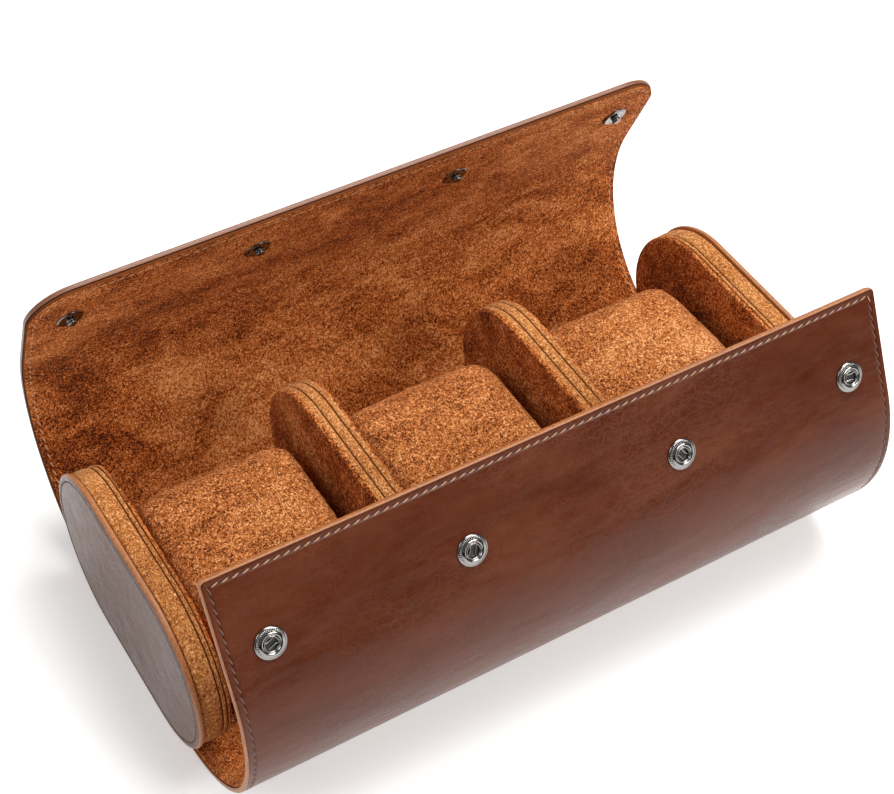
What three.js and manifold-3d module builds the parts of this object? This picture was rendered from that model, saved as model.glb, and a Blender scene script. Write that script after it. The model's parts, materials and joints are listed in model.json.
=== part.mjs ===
// Roll-up case for three wristwatches, lying open on its flat back.
// A stadium-section tube of leather, stiffened with board and lined with
// suede, is wrapped round two end caps and two dividers.  The wrap opens along
// its length into a tall flap (rear) and a lower wall (front), which four
// snap fasteners hold together when the case is shut.  Three suede cushions
// carry the watches.
//
// Frame: millimetres.  X runs along the case, +Y towards the flap's side,
// +Z up.  The origin is under the middle of the open case, on the table.
import * as THREE from 'three';
import { mergeVertices } from 'three/addons/utils/BufferGeometryUtils.js';
import Module from 'manifold-3d';

const wasm = await Module();
wasm.setup();

// ---------------------------------------------------------------- dimensions
const CASE_L = 236; // over the two leather end plates
const WRAP_L = 229.6; // length of the leather wrap between its two cut ends
const WRAP_T = 3.0; // leather + board + suede
const CLEAR = 0.3; // gap kept between touching layers
const CORE_R = 29.3; // half height of the stadium section of caps and dividers
const CORE_S = 19.8; // half length of its straight sides
const PLATE_R = 30.1; // the leather end plates stand a little proud
const ZC = CORE_R + 0.4 + WRAP_T; // height of the section's centre over the table
const IN_Z = -(CORE_R + 0.4); // inner face of the wrap's flat back, from the centre
const YC = -2.15; // the section's centre; the flap bulges further than the wall

// open profile of the wrap, inner face: flat back, an arc, then a straight lip
const FLAP = {
  side: 1, start: 27, r: 50.3, turn: 112.5, length: 138.4,
  hinges: [-1.41, 24.83, 51.65, 78.47], // arc positions of the flex lines
};
const WALL = {
  side: -1, start: 27, r: 46, turn: 119, length: 131.6,
  hinges: [6.86, 24.96, 43.93, 62.27],
};
const FLAP_CORNER_R = 15; // rounded free corners of the flap

const CAP_PLATE_T = 2.2; // leather-faced end plate
const CAP_RIM_T = 6.8; // suede band round the cap
const FACE_T = 2.3; // suede face panels of caps and dividers
const RIM_WALL = 2.0; // thickness of the suede bands
const DIVIDER_X = 37.85; // middle of each divider
const DIVIDER_T = 11.2;

const CUSHION_W = [56.4, 57.4, 56.4]; // along X
const CUSHION_X = [-75.6, -0.8, 74.0];
const CUSHION_Y = [-34, 30.6];
const CUSHION_TOP = 18.4; // above the section's centre
const CUSHION_R = 10;
const CUSHION_SKIN = 2.4;

const SNAP_X = [-100.5, -36.5, 36.5, 100.5];
const SOCKET_FROM_EDGE = 24.9; // socket centre to the wall's top edge
const STUD_FROM_HEM = 17.56; // stud centre to the flap's hem
const SOCKET_R = 4.9;
const STUD_R = 4.4;

// ----------------------------------------------------------------- materials
const leather = () => new THREE.MeshStandardMaterial({ color: 0x6b3a20, roughness: 0.42, metalness: 0 });
const suede = () => new THREE.MeshStandardMaterial({ color: 0xa55a26, roughness: 0.95, metalness: 0 });
const board = () => new THREE.MeshStandardMaterial({ color: 0x9a8467, roughness: 0.9, metalness: 0 });
const foam = () => new THREE.MeshStandardMaterial({ color: 0xc9b48e, roughness: 1, metalness: 0 });
const gunmetal = () => new THREE.MeshStandardMaterial({ color: 0x5d5a57, roughness: 0.25, metalness: 1 });
const darkmetal = () => new THREE.MeshStandardMaterial({ color: 0x35322f, roughness: 0.3, metalness: 1 });

// ------------------------------------------------------------------- helpers
const root = new THREE.Group();

// merged, closed, outward-facing triangles with only positions
function solid(geometry) {
  let g = geometry.clone();
  g.deleteAttribute('normal');
  g.deleteAttribute('uv');
  g = mergeVertices(g, 1e-4);
  const p = g.attributes.position;
  const old = g.index.array;
  const keep = [];
  for (let i = 0; i < old.length; i += 3) {
    const [a, b, c] = [old[i], old[i + 1], old[i + 2]];
    if (a !== b && b !== c && a !== c) keep.push(a, b, c);
  }
  let volume = 0;
  const [A, B, C] = [new THREE.Vector3(), new THREE.Vector3(), new THREE.Vector3()];
  for (let i = 0; i < keep.length; i += 3) {
    A.fromBufferAttribute(p, keep[i]);
    B.fromBufferAttribute(p, keep[i + 1]);
    C.fromBufferAttribute(p, keep[i + 2]);
    volume += A.dot(B.clone().cross(C));
  }
  if (volume < 0) for (let i = 0; i < keep.length; i += 3) [keep[i], keep[i + 1]] = [keep[i + 1], keep[i]];
  g.setIndex(keep);
  return g;
}

function toManifold(g) {
  return new wasm.Manifold(new wasm.Mesh({
    numProp: 3,
    vertProperties: new Float32Array(g.attributes.position.array),
    triVerts: new Uint32Array(g.index.array),
  }));
}

function fromManifold(m) {
  const mesh = m.getMesh();
  const g = new THREE.BufferGeometry();
  g.setAttribute('position', new THREE.BufferAttribute(new Float32Array(mesh.vertProperties), 3));
  g.setIndex(new THREE.BufferAttribute(new Uint32Array(mesh.triVerts), 1));
  return g;
}

function cut(g, tools) {
  let body = toManifold(g);
  for (const t of tools) body = body.subtract(toManifold(t));
  return fromManifold(body);
}

function add(name, geometry, material, group = root) {
  const g = geometry;
  g.computeVertexNormals();
  const mesh = new THREE.Mesh(g, material);
  mesh.name = name;
  group.add(mesh);
  return mesh;
}

// a closed outline in the YZ plane pushed along X from x0 to x1
const YZX = new THREE.Matrix4().makeBasis(
  new THREE.Vector3(0, 1, 0), new THREE.Vector3(0, 0, 1), new THREE.Vector3(1, 0, 0));
function alongX(outline, x0, x1, holes = []) {
  const shape = new THREE.Shape(outline.map(([y, z]) => new THREE.Vector2(y, z)));
  for (const h of holes) shape.holes.push(new THREE.Path(h.map(([y, z]) => new THREE.Vector2(y, z))));
  const g = new THREE.ExtrudeGeometry(shape, { depth: x1 - x0, bevelEnabled: false, curveSegments: 1 });
  g.applyMatrix4(YZX);
  g.translate(x0, YC, ZC);
  return solid(g);
}

// a stadium outline: two half circles of radius r joined by straights of 2*s
function stadium(r, s = CORE_S, n = 16) {
  const out = [];
  for (let i = 0; i <= n; i++) {
    const a = -Math.PI / 2 + (Math.PI * i) / n;
    out.push([s + r * Math.cos(a), r * Math.sin(a)]);
  }
  for (let i = 0; i <= n; i++) {
    const a = Math.PI / 2 + (Math.PI * i) / n;
    out.push([-s + r * Math.cos(a), r * Math.sin(a)]);
  }
  return out;
}

// stadium plate with softened edges
function stadiumPlate(r, x0, x1, edge) {
  const shape = new THREE.Shape(stadium(r - edge).map(([y, z]) => new THREE.Vector2(y, z)));
  const g = new THREE.ExtrudeGeometry(shape, {
    depth: x1 - x0 - 2 * edge, bevelEnabled: true, bevelThickness: edge, bevelSize: edge,
    bevelSegments: 2, curveSegments: 1,
  });
  g.applyMatrix4(YZX);
  g.translate(x0 + edge, YC, ZC);
  return solid(g);
}

function roundedRect(y0, y1, z0, z1, r, n = 6) {
  const out = [];
  const corners = [[y1 - r, z0 + r, -90], [y1 - r, z1 - r, 0], [y0 + r, z1 - r, 90], [y0 + r, z0 + r, 180]];
  for (const [cy, cz, from] of corners)
    for (let i = 0; i <= n; i++) {
      const a = ((from + (90 * i) / n) * Math.PI) / 180;
      out.push([cy + r * Math.cos(a), cz + r * Math.sin(a)]);
    }
  return out;
}

// point on the wrap at arc position s, a depth d out from the inner face
function wrapPoint(w, s, d) {
  const T = (w.turn * Math.PI) / 180;
  const S = w.r * T;
  const a = Math.max(0, Math.min(s, S)) / w.r;
  const before = Math.min(s, 0);
  const beyond = Math.max(s - S, 0);
  const y = w.start + before + w.r * Math.sin(a) + beyond * Math.cos(T) + d * Math.sin(a);
  const z = IN_Z + w.r - w.r * Math.cos(a) + beyond * Math.sin(T) - d * Math.cos(a);
  return [w.side * y, z];
}

// arc positions from s0 to s1, close enough for a smooth curve
function stations(w, s0, s1, step = 4.5) {
  const S = (w.r * w.turn * Math.PI) / 180;
  const end = Math.min(s1, S);
  const out = [];
  if (s0 < end) {
    const n = Math.max(1, Math.ceil((end - s0) / step));
    for (let i = 0; i <= n; i++) out.push(s0 + ((end - s0) * i) / n);
  } else out.push(s0);
  if (s1 > S + 0.01) out.push(s1);
  return out;
}

function layer(w, s0, s1, d0, d1, inset = 0) {
  const list = stations(w, s0, s1);
  const outline = [
    ...list.map((s) => wrapPoint(w, s, d1)),
    ...list.slice().reverse().map((s) => wrapPoint(w, s, d0)),
  ];
  return alongX(outline, -WRAP_L / 2 + inset, WRAP_L / 2 - inset);
}

// local frame on a wrap's straight lip: X along the case, Y towards the free
// edge, Z away from the inner face (wall) or towards it (flap); the origin is
// on the inner face, `back` short of the free edge
function lipFrame(w, x, back, d) {
  const T = (w.turn * Math.PI) / 180;
  const [y, z] = wrapPoint(w, w.length - back, d);
  const t = new THREE.Vector3(0, w.side * Math.cos(T), Math.sin(T));
  const X = new THREE.Vector3(1, 0, 0);
  const n = X.clone().cross(t);
  const m = new THREE.Matrix4().makeBasis(X, t, n);
  m.setPosition(x, y + YC, z + ZC);
  return m;
}

function rod(m, r, h0, h1, n = 20) {
  const g = new THREE.CylinderGeometry(r, r, h1 - h0, n);
  g.rotateX(Math.PI / 2);
  g.translate(0, 0, (h0 + h1) / 2);
  g.applyMatrix4(m);
  return solid(g);
}

function turned(m, profile, n = 20) {
  const g = new THREE.LatheGeometry(profile.map(([r, h]) => new THREE.Vector2(r, h)), n);
  g.rotateX(Math.PI / 2);
  g.applyMatrix4(m);
  return solid(g);
}

// ------------------------------------------------------------- the wrap: back
const G = CLEAR / 2;
// depths out from the inner face
const LINING = [0, 0.8];
const BOARD = [1.1, 1.8];
const LEATHER_THIN = [2.1, WRAP_T];
const LINING_SOFT = [0, 1.1]; // where there is no board
const LEATHER_SOFT = [1.4, WRAP_T];

function backLayer(d0, d1, inset = 0) {
  const f = stations(FLAP, -FLAP.start, FLAP.hinges[0] - G - inset, 9);
  const w = stations(WALL, -WALL.start + 0.5, WALL.hinges[0] - G - inset, 9);
  const outline = [
    ...w.slice().reverse().map((s) => wrapPoint(WALL, s, d1)),
    ...f.map((s) => wrapPoint(FLAP, s, d1)),
    ...f.slice().reverse().map((s) => wrapPoint(FLAP, s, d0)),
    ...w.map((s) => wrapPoint(WALL, s, d0)),
  ];
  return alongX(outline, -WRAP_L / 2 + inset, WRAP_L / 2 - inset);
}
add('back_leather', backLayer(...LEATHER_THIN), leather());
add('back_board', backLayer(...BOARD, 1.5), board());
add('back_lining', backLayer(...LINING), suede());

// ------------------------------------------------------------- the wrap: flap
const flap = new THREE.Group();
root.add(flap);
const F = [...FLAP.hinges, FLAP.length + G];
// tools that round the flap's two free corners
function cornerTool(side) {
  const R = FLAP_CORNER_R;
  const e = 2;
  const x1 = WRAP_L / 2;
  const pts = [];
  for (let i = 0; i <= 8; i++) {
    const a = (Math.PI / 2) * (i / 8);
    pts.push(new THREE.Vector2(x1 - R + R * Math.cos(a), -R + R * Math.sin(a)));
  }
  pts.push(new THREE.Vector2(x1 - R, e), new THREE.Vector2(x1 + e, e), new THREE.Vector2(x1 + e, -R));
  const g = new THREE.ExtrudeGeometry(new THREE.Shape(pts), { depth: 12, bevelEnabled: false });
  g.translate(0, 0, -6);
  if (side < 0) g.scale(-1, 1, 1);
  g.applyMatrix4(lipFrame(FLAP, 0, 0, 1.5));
  return solid(g);
}
const corners = [cornerTool(1), cornerTool(-1)];
const studFrames = SNAP_X.map((x) => lipFrame(FLAP, x, STUD_FROM_HEM, 0)); // +Z of each points inwards
for (let i = 0; i < 4; i++) {
  const s0 = F[i] + G;
  const s1 = F[i + 1] - G;
  const end = i === 3;
  let skin = layer(FLAP, s0, s1, ...(end ? LEATHER_THIN : LEATHER_SOFT));
  let lining = layer(FLAP, s0, s1, ...(end ? LINING : LINING_SOFT));
  if (end) {
    skin = cut(skin, corners);
    lining = cut(lining, [...corners, ...studFrames.map((m) => rod(m, 2.7, -3, 2))]);
    const stiff = cut(layer(FLAP, s0 + 1, s1 - 1, ...BOARD, 1.5),
      [...corners.map((c) => c), ...studFrames.map((m) => rod(m, 4.4, -3, 2))]);
    add('flap_board_4', stiff, board(), flap);
  }
  add(`flap_leather_${i + 1}`, skin, leather(), flap);
  add(`flap_lining_${i + 1}`, lining, suede(), flap);
}

// ------------------------------------------------------------- the wrap: wall
const wall = new THREE.Group();
root.add(wall);
const W = [...WALL.hinges, WALL.length + G];
const socketFrames = SNAP_X.map((x) => lipFrame(WALL, x, SOCKET_FROM_EDGE, WRAP_T)); // +Z of each points outwards
for (let i = 0; i < 4; i++) {
  const s0 = W[i] + G;
  const s1 = W[i + 1] - G;
  const end = i === 3;
  let skin = layer(WALL, s0, s1, ...(end ? LEATHER_THIN : LEATHER_SOFT));
  const lining = layer(WALL, s0, s1, ...(end ? LINING : LINING_SOFT));
  if (end) {
    skin = cut(skin, socketFrames.map((m) => rod(m, 2.7, -1.1, 1)));
    const stiff = cut(layer(WALL, s0 + 1, s1 - 1, ...BOARD, 1.5),
      socketFrames.map((m) => rod(m, 4.4, -2.2, 1)));
    add('wall_board_4', stiff, board(), wall);
  }
  add(`wall_leather_${i + 1}`, skin, leather(), wall);
  add(`wall_lining_${i + 1}`, lining, suede(), wall);
}

// ------------------------------------------------------------ snap fasteners
// socket: domed ring with a through hole; its barrel passes the leather
const socketProfile = [
  [1.95, -1.1], [2.4, -1.1], [2.4, 0.3], [SOCKET_R, 0.3], [SOCKET_R, 0.75],
  [4.35, 1.15], [3.3, 1.45], [2.7, 1.4], [2.25, 1.25], [1.95, 0.95], [1.95, -1.1],
];
// its rear washer, inside the board
const washerProfile = [[0, -1.9], [4.1, -1.9], [4.1, -1.4], [0, -1.4]];
// stud: flange with a ball-ended nipple; its barrel passes the lining
const studProfile = [
  [0, -1.0], [2.4, -1.0], [2.4, 0.3], [STUD_R, 0.3], [STUD_R, 0.5], [3.5, 0.8],
  [2.5, 0.75], [1.25, 0.95], [1.25, 1.4], [1.55, 1.9], [1.5, 2.5], [0.9, 3.05], [0, 3.2],
];
const studWasher = [[0, -1.8], [4.1, -1.8], [4.1, -1.3], [0, -1.3]];
SNAP_X.forEach((x, i) => {
  add(`socket_${i + 1}`, turned(socketFrames[i], socketProfile, 16), gunmetal(), wall);
  add(`socket_washer_${i + 1}`, turned(socketFrames[i], washerProfile, 12), gunmetal(), wall);
  add(`stud_${i + 1}`, turned(studFrames[i], studProfile, 16), darkmetal(), flap);
  add(`stud_washer_${i + 1}`, turned(studFrames[i], studWasher, 12), darkmetal(), flap);
});

// ------------------------------------------------------------------ end caps
const HALF = CASE_L / 2;
for (const [side, name] of [[-1, 'left'], [1, 'right']]) {
  const span = (a, b) => (side < 0 ? [-b, -a] : [a, b]);
  const rim0 = HALF - CAP_PLATE_T - CLEAR - CAP_RIM_T;
  const rim1 = HALF - CAP_PLATE_T - CLEAR;
  add(`cap_${name}_plate`, stadiumPlate(PLATE_R, ...span(HALF - CAP_PLATE_T, HALF), 0.6), leather());
  add(`cap_${name}_rim`, alongX(stadium(CORE_R), ...span(rim0, rim1), [stadium(CORE_R - RIM_WALL)]), suede());
  add(`cap_${name}_core`, alongX(stadium(CORE_R - RIM_WALL - CLEAR), ...span(rim0, rim1)), board());
  add(`cap_${name}_face`, stadiumPlate(CORE_R, ...span(rim0 - CLEAR - FACE_T, rim0 - CLEAR), 0.7), suede());
}

// ------------------------------------------------------------------ dividers
for (const [x, name] of [[-DIVIDER_X, 'left'], [DIVIDER_X, 'right']]) {
  const h = DIVIDER_T / 2;
  const b = h - FACE_T - CLEAR;
  add(`divider_${name}_face_a`, stadiumPlate(CORE_R, x - h, x - h + FACE_T, 0.7), suede());
  add(`divider_${name}_rim`, alongX(stadium(CORE_R), x - b, x + b, [stadium(CORE_R - RIM_WALL)]), suede());
  add(`divider_${name}_core`, alongX(stadium(CORE_R - RIM_WALL - CLEAR), x - b, x + b), board());
  add(`divider_${name}_face_b`, stadiumPlate(CORE_R, x + h - FACE_T, x + h, 0.7), suede());
}

// ------------------------------------------------------------------ cushions
['left', 'middle', 'right'].forEach((name, i) => {
  const x0 = CUSHION_X[i] - CUSHION_W[i] / 2;
  const x1 = CUSHION_X[i] + CUSHION_W[i] / 2;
  const z0 = IN_Z + CLEAR;
  const [y0, y1] = CUSHION_Y;
  const k = CUSHION_SKIN;
  const g = CLEAR;
  const outer = roundedRect(y0, y1, z0, CUSHION_TOP, CUSHION_R);
  const hole = roundedRect(y0 + k, y1 - k, z0 + k, CUSHION_TOP - k, CUSHION_R - k);
  const inner = roundedRect(y0 + k + g, y1 - k - g, z0 + k + g, CUSHION_TOP - k - g, CUSHION_R - k - g);
  add(`cushion_${name}_cover`, alongX(outer, x0, x1, [hole]), suede());
  add(`cushion_${name}_foam`, alongX(inner, x0 + 0.8, x1 - 0.8), foam());
});

export default root;
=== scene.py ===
import json
import math
import bmesh
import bpy
import numpy as np
from mathutils import Matrix, Vector

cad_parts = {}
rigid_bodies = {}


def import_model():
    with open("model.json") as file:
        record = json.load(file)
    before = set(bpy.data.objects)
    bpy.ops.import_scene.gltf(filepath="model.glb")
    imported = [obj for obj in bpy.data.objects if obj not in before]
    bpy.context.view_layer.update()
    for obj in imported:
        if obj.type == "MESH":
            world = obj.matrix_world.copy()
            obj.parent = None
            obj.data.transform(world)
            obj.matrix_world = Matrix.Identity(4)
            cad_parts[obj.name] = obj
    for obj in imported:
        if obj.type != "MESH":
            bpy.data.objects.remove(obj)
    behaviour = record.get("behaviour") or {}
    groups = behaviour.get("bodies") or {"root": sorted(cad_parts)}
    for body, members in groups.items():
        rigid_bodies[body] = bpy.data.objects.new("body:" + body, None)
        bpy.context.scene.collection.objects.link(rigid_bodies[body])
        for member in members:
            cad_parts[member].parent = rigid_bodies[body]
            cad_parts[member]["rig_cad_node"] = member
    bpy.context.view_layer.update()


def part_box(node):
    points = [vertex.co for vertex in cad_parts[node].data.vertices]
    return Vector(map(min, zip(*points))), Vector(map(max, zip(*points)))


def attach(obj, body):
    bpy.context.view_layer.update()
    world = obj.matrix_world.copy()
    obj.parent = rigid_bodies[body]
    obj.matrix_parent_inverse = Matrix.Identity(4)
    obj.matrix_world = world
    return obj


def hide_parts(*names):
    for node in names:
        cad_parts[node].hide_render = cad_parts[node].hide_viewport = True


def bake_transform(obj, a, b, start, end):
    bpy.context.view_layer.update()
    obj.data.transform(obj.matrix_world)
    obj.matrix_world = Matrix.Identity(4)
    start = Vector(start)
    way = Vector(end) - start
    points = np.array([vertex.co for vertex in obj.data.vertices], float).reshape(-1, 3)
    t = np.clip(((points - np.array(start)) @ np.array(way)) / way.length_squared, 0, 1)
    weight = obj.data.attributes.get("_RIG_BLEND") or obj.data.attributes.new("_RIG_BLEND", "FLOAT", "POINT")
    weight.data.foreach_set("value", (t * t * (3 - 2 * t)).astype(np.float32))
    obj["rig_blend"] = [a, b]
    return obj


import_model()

# Lengths below are millimetres in the CAD frame, and are scaled when a mesh is made.
MM = 0.001


def cad(node):
    lo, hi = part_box(node)
    return np.array(lo) * 1000, np.array(hi) * 1000


# ------------------------------------------------------------------ the frame
_lo, _hi = cad("cap_left_plate")
YC, ZC = (_lo[1] + _hi[1]) / 2, (_lo[2] + _hi[2]) / 2
PLATE_R = (_hi[2] - _lo[2]) / 2
_lo, _hi = cad("divider_left_rim")
CORE_R = (_hi[2] - _lo[2]) / 2
CORE_S = (_hi[1] - _lo[1]) / 2 - CORE_R
_lo, _hi = cad("back_leather")
WRAP_L = _hi[0] - _lo[0]
WRAP_T = 3.0
IN_Z = -(ZC - WRAP_T)
FLAP = dict(side=1, start=27, r=50.3, turn=math.radians(112.5), length=138.4, corner=15.0,
            hinges=[-1.41, 24.83, 51.65, 78.47])
WALL = dict(side=-1, start=27, r=46, turn=math.radians(119), length=131.6, corner=1.7,
            hinges=[6.86, 24.96, 43.93, 62.27])
SNAP_X = [(cad(f"socket_{i}")[0][0] + cad(f"socket_{i}")[1][0]) / 2 for i in (1, 2, 3, 4)]
SOCKET_BACK, STUD_BACK = 24.9, 17.56


def wrap_yz(w, s, d):
    s, d = np.broadcast_arrays(np.asarray(s, float), np.asarray(d, float))
    S = w["r"] * w["turn"]
    a = np.clip(s, 0, S) / w["r"]
    before, beyond = np.minimum(s, 0), np.maximum(s - S, 0)
    T = w["turn"]
    y = w["start"] + before + w["r"] * np.sin(a) + beyond * math.cos(T) + d * np.sin(a)
    z = IN_Z + w["r"] - w["r"] * np.cos(a) + beyond * math.sin(T) - d * np.cos(a)
    return w["side"] * y + YC, z + ZC


def wrap_dirs(w, s):
    """tangent towards the free edge and outward normal, as YZ pairs"""
    a = np.clip(np.asarray(s, float), 0, w["r"] * w["turn"]) / w["r"]
    t = np.stack([w["side"] * np.cos(a), np.sin(a)], -1)
    n = np.stack([w["side"] * np.sin(a), -np.cos(a)], -1)
    return t, n


def wrap_xyz(w, x, s, d):
    x, s, d = np.broadcast_arrays(np.asarray(x, float), np.asarray(s, float), np.asarray(d, float))
    y, z = wrap_yz(w, s, d)
    return np.stack([x, y, z], -1)


def unrolled(w, s):
    return w["side"] * (np.asarray(s, float) + w["start"])


# ------------------------------------------------------------------ materials
def nodes_of(name):
    m = bpy.data.materials.new(name)
    m.use_nodes = True
    t = m.node_tree
    t.nodes.clear()
    out = t.nodes.new("ShaderNodeOutputMaterial")
    b = t.nodes.new("ShaderNodeBsdfPrincipled")
    t.links.new(b.outputs["BSDF"], out.inputs["Surface"])
    return m, t, b


class Tree:
    """a few short words for building a procedural node tree"""

    def __init__(self, t):
        self.t = t

    def new(self, kind, **kw):
        n = self.t.nodes.new(kind)
        for k, v in kw.items():
            setattr(n, k, v)
        return n

    def put(self, socket, v):
        if isinstance(v, bpy.types.NodeSocket):
            self.t.links.new(v, socket)
        else:
            socket.default_value = v

    def attr(self, name):
        return self.new("ShaderNodeAttribute", attribute_name=name, attribute_type="GEOMETRY")

    def scaled(self, v, s, shift=(0, 0, 0)):
        n = self.new("ShaderNodeMapping", vector_type="POINT")
        self.put(n.inputs["Vector"], v)
        n.inputs["Scale"].default_value = s
        n.inputs["Location"].default_value = shift
        return n.outputs[0]

    def noise(self, v, scale, detail=3.0, rough=0.55, distort=0.0, out="Fac"):
        n = self.new("ShaderNodeTexNoise", noise_dimensions="3D")
        self.put(n.inputs["Vector"], v)
        n.inputs["Scale"].default_value = scale
        n.inputs["Detail"].default_value = detail
        n.inputs["Roughness"].default_value = rough
        n.inputs["Distortion"].default_value = distort
        return n.outputs[out]

    def voronoi(self, v, scale, feature="DISTANCE_TO_EDGE"):
        n = self.new("ShaderNodeTexVoronoi", feature=feature)
        self.put(n.inputs["Vector"], v)
        n.inputs["Scale"].default_value = scale
        return n.outputs[0]

    def math(self, op, a, b=0.0, c=0.0, clamp=False):
        n = self.new("ShaderNodeMath", operation=op, use_clamp=clamp)
        self.put(n.inputs[0], a)
        self.put(n.inputs[1], b)
        self.put(n.inputs[2], c)
        return n.outputs[0]

    def span(self, v, a, b, lo=0.0, hi=1.0, smooth=False):
        n = self.new("ShaderNodeMapRange", clamp=True)
        if smooth:
            n.interpolation_type = "SMOOTHSTEP"
        self.put(n.inputs[0], v)
        for i, k in enumerate((a, b, lo, hi)):
            n.inputs[i + 1].default_value = k
        return n.outputs[0]

    def ramp(self, v, stops, mode="LINEAR"):
        n = self.new("ShaderNodeValToRGB")
        n.color_ramp.interpolation = mode
        e = n.color_ramp.elements
        while len(e) < len(stops):
            e.new(0.5)
        for k, (p, c) in zip(e, stops):
            k.position = p
            k.color = (*c, 1)
        self.put(n.inputs[0], v)
        return n.outputs[0]

    def mix(self, f, a, b, how="MIX"):
        n = self.new("ShaderNodeMix", data_type="RGBA", blend_type=how, clamp_factor=True)
        self.put(n.inputs[0], f)
        self.put(n.inputs[6], a)
        self.put(n.inputs[7], b)
        return n.outputs[2]

    def bump(self, height, strength, distance, normal=None):
        n = self.new("ShaderNodeBump")
        n.inputs["Strength"].default_value = strength
        n.inputs["Distance"].default_value = distance
        self.put(n.inputs["Height"], height)
        if normal is not None:
            self.put(n.inputs["Normal"], normal)
        return n.outputs[0]

    def xyz(self, v):
        n = self.new("ShaderNodeSeparateXYZ")
        self.put(n.inputs[0], v)
        return n.outputs

    def join(self, x, y, z):
        n = self.new("ShaderNodeCombineXYZ")
        for i, v in enumerate((x, y, z)):
            self.put(n.inputs[i], v)
        return n.outputs[0]


def leather_material(name, base, dark, light, rough=0.34, wrinkle=1.0, edge=True):
    m, t, b = nodes_of(name)
    T = Tree(t)
    v = T.attr("flat").outputs["Vector"]
    # cloudy dye, drawn out along the case
    cloud = T.noise(T.scaled(v, (0.018, 0.045, 0.045)), 1.0, 4.0, 0.6, 0.6)
    blotch = T.noise(T.scaled(v, (0.11, 0.16, 0.16), (7, 3, 1)), 1.0, 4.0, 0.62)
    fine = T.noise(v, 1.1, 3.0, 0.6)
    tone = T.math("ADD", T.math("MULTIPLY", cloud, 0.78), T.math("MULTIPLY", blotch, 0.22))
    colour = T.ramp(tone, [(0.30, dark), (0.50, base), (0.70, light)])
    colour = T.mix(T.span(fine, 0.35, 0.7, 0.0, 0.10), colour, (*[c * 0.6 for c in dark], 1))
    # creased skin: a fine net of wrinkles that comes and goes
    warp = T.noise(v, 0.12, 3.0, 0.6, 0.0, "Color")
    wv = T.new("ShaderNodeVectorMath", operation="MULTIPLY_ADD")
    T.put(wv.inputs[0], warp)
    wv.inputs[1].default_value = (9, 9, 9)
    T.put(wv.inputs[2], v)
    net = T.voronoi(T.scaled(wv.outputs[0], (0.22, 0.42, 0.42)), 1.0)
    net2 = T.voronoi(T.scaled(wv.outputs[0], (0.62, 0.9, 0.9), (3, 8, 0)), 1.0)
    crease = T.math("ADD", T.span(net, 0.0, 0.10, 1.0, 0.0, True), T.math("MULTIPLY", T.span(net2, 0.0, 0.16, 1.0, 0.0, True), 0.45))
    where = T.span(T.noise(T.scaled(v, (0.014, 0.022, 0.022), (5, 2, 9)), 1.0, 3.0, 0.6), 0.42, 0.62, 0.05, 1.0, True)
    crease = T.math("MULTIPLY", crease, where)
    # painted highlight: the colour is mixed towards a lighter tone along the wrinkle lines
    colour = T.mix(T.math("MULTIPLY", crease, 0.16 * wrinkle, clamp=True), colour, (*[min(1, c * 1.7) for c in light], 1))
    pebble = T.noise(v, 3.2, 2.0, 0.5)
    swell = T.noise(T.scaled(v, (0.05, 0.12, 0.12), (1, 4, 2)), 1.0, 2.0, 0.5)
    height = T.math("ADD", T.math("MULTIPLY", pebble, 0.020), T.math("MULTIPLY", crease, -0.022 * wrinkle))
    height = T.math("ADD", height, T.math("MULTIPLY", fine, 0.05))
    height = T.math("ADD", height, T.math("MULTIPLY", blotch, 0.10))
    height = T.math("ADD", height, T.math("MULTIPLY", swell, 0.5))
    if edge:
        e = T.attr("edge").outputs["Fac"]
        # painted shade: the skin's colour is darkened in the sewn groove and along the rounded edge
        g = T.math("ABSOLUTE", T.math("SUBTRACT", e, 2.35))
        shade = T.math("MULTIPLY", T.span(g, 0.0, 0.75, 1.0, 0.0, True), 0.45)
        shade = T.math("MAXIMUM", shade, T.math("MULTIPLY", T.span(e, 0.2, 1.0, 0.7, 0.0, True), 1.0))
        colour = T.mix(shade, colour, (*[c * 0.35 for c in dark], 1))
    t.links.new(colour, b.inputs["Base Color"])
    r = T.math("ADD", T.span(cloud, 0.3, 0.7, rough - 0.05, rough + 0.07), T.math("MULTIPLY", T.math("SUBTRACT", blotch, 0.5), 0.16))
    r = T.math("ADD", r, T.math("MULTIPLY", crease, 0.10))
    t.links.new(r, b.inputs["Roughness"])
    b.inputs["Specular IOR Level"].default_value = 0.24
    b.inputs["Coat Weight"].default_value = 0.0
    t.links.new(T.bump(height, 0.8, 0.001), b.inputs["Normal"])
    return m


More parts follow.
